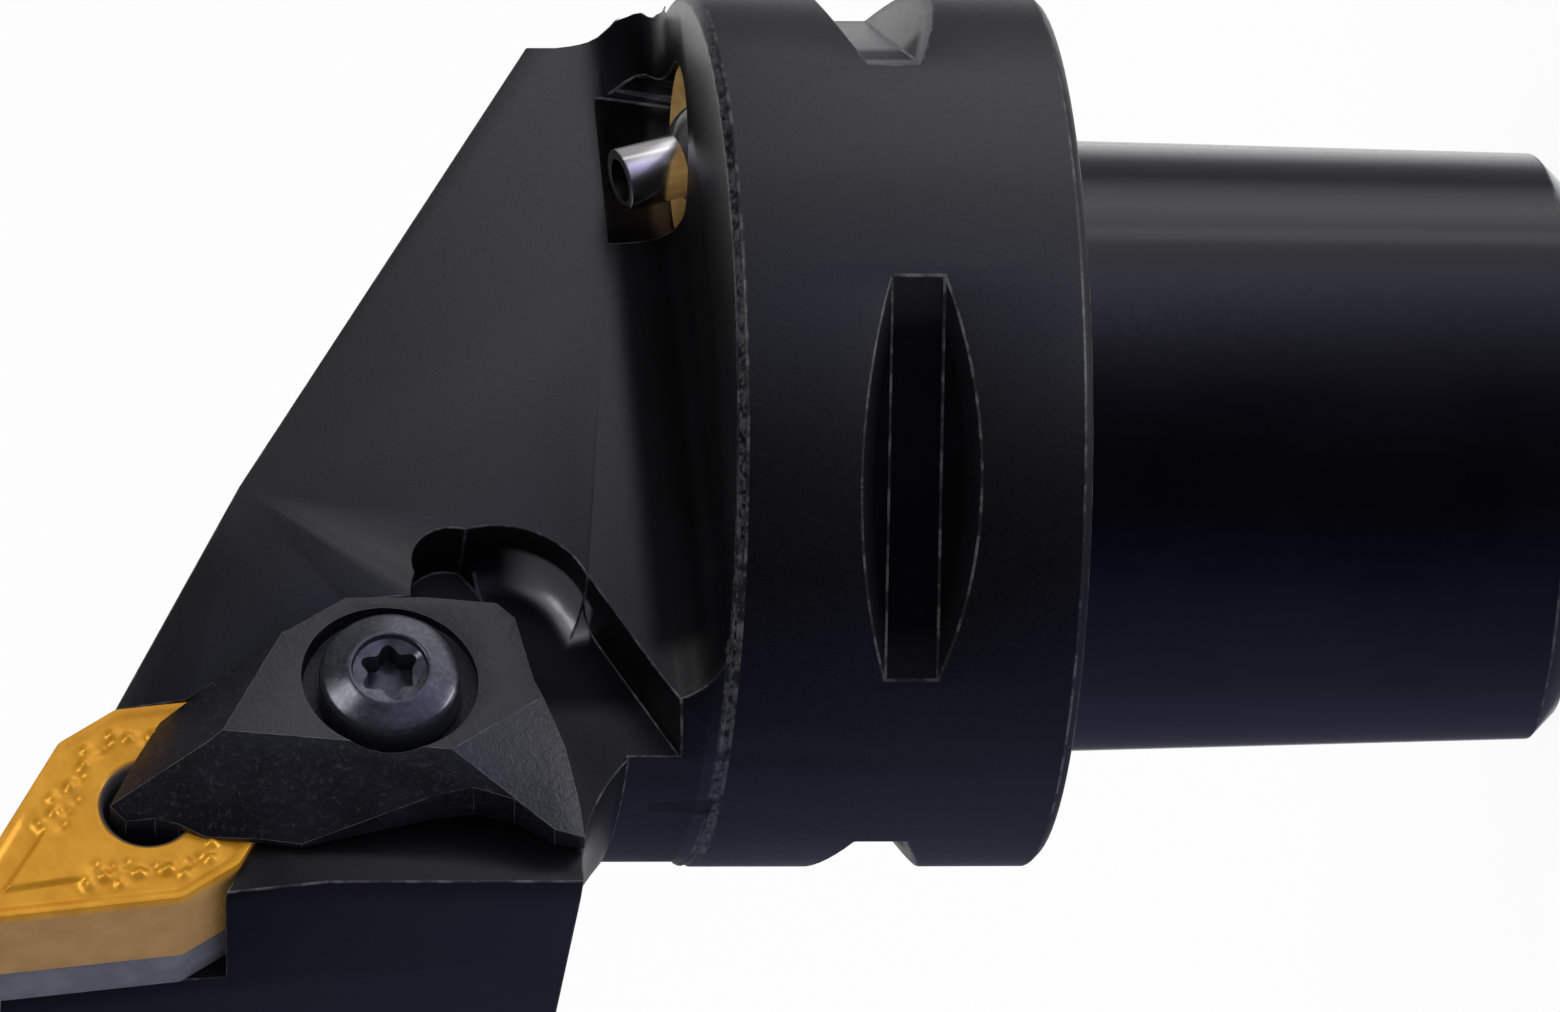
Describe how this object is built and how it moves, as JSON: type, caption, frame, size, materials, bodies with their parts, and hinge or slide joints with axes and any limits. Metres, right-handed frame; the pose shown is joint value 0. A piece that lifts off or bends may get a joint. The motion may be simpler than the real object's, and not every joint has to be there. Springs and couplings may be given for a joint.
{
  "type": "turning tool holder",
  "caption": "Left-hand external turning tool: three-lobed taper shank, round gripper flange, offset head, clamped rhombic insert and swivelling coolant nozzle.",
  "frame": {"origin": "centre of the gauge face, where the shank's axis meets the flange's back face, on the drawbar thread's axis", "axes": "+Z along the tool's axis from the gauge face towards the cutting end; -X towards the side on which the cutting corner stands out; -Y the way the rake face and the clamp look"},
  "size_m": [0.0599, 0.05, 0.0939],
  "materials": {
    "black_steel": "black oxide, satin",
    "coated_carbide": "gold-coloured coating",
    "bare_carbide": "ground",
    "screw_steel": "black, glossy",
    "forged_steel": "black, forged skin",
    "spring_steel": "bright wire",
    "bright_steel": "polished",
    "brass": "turned",
    "seal_rubber": "matte"
  },
  "bodies": {
    "holder": {"holder_body": "black_steel", "cutting_insert": "coated_carbide", "shim": "bare_carbide", "shim_screw": "screw_steel", "clamp_spring": "spring_steel", "nozzle_ring": "brass", "nozzle_seal": "seal_rubber"},
    "clamp": {"clamp": "forged_steel"},
    "clamp_screw": {"clamp_screw": "screw_steel"},
    "nozzle": {"coolant_nozzle": "bright_steel"}
  },
  "joints": [
    {"name": "clamp_lift", "type": "slide", "parent": "holder", "child": "clamp", "axis": [-0.104, -0.9891, 0.104], "range_m": [0, 0.0035]},
    {"name": "clamp_screw_turn", "type": "hinge", "parent": "clamp", "child": "clamp_screw", "pos_m": [-0.02259, -0.00388, 0.03896], "axis": [-0.104, -0.9891, 0.104], "range_deg": [0, 1576]},
    {"name": "nozzle_swivel", "type": "hinge", "parent": "holder", "child": "nozzle", "pos_m": [0.0134, -0.0084, 0.0175], "axis": [0, 1, 0], "range_deg": [-12, 12]}
  ],
  "couplings": [
    {"joint": "clamp_screw_turn", "follows": "clamp_lift", "rad_per_m": 7854}
  ]
}
